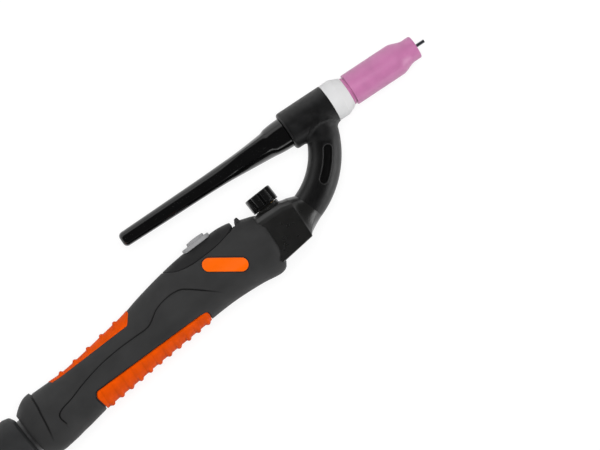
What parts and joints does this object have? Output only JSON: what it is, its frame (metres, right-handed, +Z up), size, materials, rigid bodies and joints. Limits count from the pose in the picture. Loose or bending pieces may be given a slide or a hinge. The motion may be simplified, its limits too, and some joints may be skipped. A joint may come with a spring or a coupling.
{
  "type": "TIG welding torch",
  "caption": "Water-cooled TIG torch: ceramic gas cup, long back cap, bent neck, gas valve with turning knob, two-shell handle with soft grips and trigger, swivelling cable joint.",
  "frame": {"origin": "under the middle of the torch's bounding box, on the bench it lies on", "axes": "+X from the cable to the electrode tip, +Y towards the back cap's side of the handle, +Z up from the bench, out of the torch's left flank"},
  "size_m": [0.3568, 0.0956, 0.0372],
  "materials": {
    "tungsten": "ground, satin",
    "alumina_pink": "fired ceramic, slight sheen",
    "ptfe_white": "smooth",
    "copper": "machined",
    "brass": "machined",
    "rubber_black": "matte moulding",
    "cap_black": "glossy phenolic",
    "housing_black": "fine texture",
    "shell_charcoal": "fine texture",
    "grip_orange": "matte",
    "badge_orange": "smooth",
    "button_grey": "smooth",
    "switch_black": "moulded",
    "plunger_red": "moulded",
    "lead_red": "smooth insulation",
    "spring_steel": "drawn wire",
    "screw_black": "black oxide",
    "seat_white": "smooth acetal",
    "joint_black": "smooth"
  },
  "bodies": {
    "handle": {"valve_housing": "housing_black", "valve_block": "brass", "valve_gland": "brass", "valve_seal": "rubber_black", "gas_barb": "brass", "water_barb": "brass", "power_stud": "brass", "left_shell": "shell_charcoal", "right_shell": "shell_charcoal", "shell_screws": "screw_black", "upper_grip_pad": "grip_orange", "lower_grip_pad": "grip_orange", "left_badge": "badge_orange", "right_badge": "badge_orange", "switch_module": "housing_black", "trigger_spring": "spring_steel", "microswitch": "switch_black", "switch_leads": "lead_red", "lead_splices": "switch_black", "neck_rubber": "rubber_black", "gas_tube": "copper", "water_tube": "copper", "return_tube": "copper"},
    "head": {"head_core": "brass", "head_rubber": "rubber_black", "cup_gasket": "ptfe_white", "gas_cup": "alumina_pink", "collet": "copper", "collet_body": "copper"},
    "electrode": {"tungsten_electrode": "tungsten"},
    "cap_thread": {"back_cap_seal": "rubber_black"},
    "cap": {"back_cap": "cap_black"},
    "valve_thread": {"valve_stem": "brass"},
    "knob": {"valve_knob": "cap_black"},
    "trigger": {"trigger_button": "button_grey", "switch_plunger": "plunger_red"},
    "cable_seat": {"ball_seat": "seat_white"},
    "cable_joint": {"cable_ball": "joint_black", "cable_sleeve": "shell_charcoal"}
  },
  "joints": [
    {"name": "neck_bend", "type": "hinge", "parent": "handle", "child": "head", "pos_m": [0.08602, 0.00494, 0.0186], "axis": [0, 0, 1], "range_deg": [-50, 8], "deforming": ["neck_rubber", "gas_tube", "water_tube", "return_tube"]},
    {"name": "electrode_feed", "type": "slide", "parent": "head", "child": "electrode", "axis": [1, 0, 0], "range_m": [-0.006, 0.015]},
    {"name": "cap_travel", "type": "slide", "parent": "head", "child": "cap_thread", "axis": [-1, 0, 0], "range_m": [0, 0.008]},
    {"name": "cap_turn", "type": "hinge", "parent": "cap_thread", "child": "cap", "pos_m": [0.05262, 0.03614, 0.0186], "axis": [-1, 0, 0], "range_deg": [0, 2880]},
    {"name": "valve_travel", "type": "slide", "parent": "handle", "child": "valve_thread", "axis": [-0.0802, 0.9968, 0], "range_m": [0, 0.0015]},
    {"name": "valve_turn", "type": "hinge", "parent": "valve_thread", "child": "knob", "pos_m": [0.04982, 0.00694, 0.0186], "axis": [-0.0802, 0.9968, 0], "range_deg": [0, 540]},
    {"name": "trigger_press", "type": "slide", "parent": "handle", "child": "trigger", "axis": [0.0628, -0.998, 0], "range_m": [0, 0.0012], "stiffness_N_per_m": 1500, "springref_m": -0.0004, "deforming": ["trigger_spring"]},
    {"name": "cable_spin", "type": "hinge", "parent": "handle", "child": "cable_seat", "pos_m": [-0.12338, -0.02618, 0.0186], "axis": [-0.9954, -0.0958, 0], "continuous": true},
    {"name": "cable_tilt", "type": "hinge", "parent": "cable_seat", "child": "cable_joint", "pos_m": [-0.12338, -0.02618, 0.0186], "axis": [0, 0, 1], "range_deg": [-8, 8]}
  ],
  "couplings": [
    {"joint": "cap_turn", "follows": "cap_travel", "rad_per_m": 6283.2},
    {"joint": "valve_turn", "follows": "valve_travel", "rad_per_m": 6283.2}
  ]
}
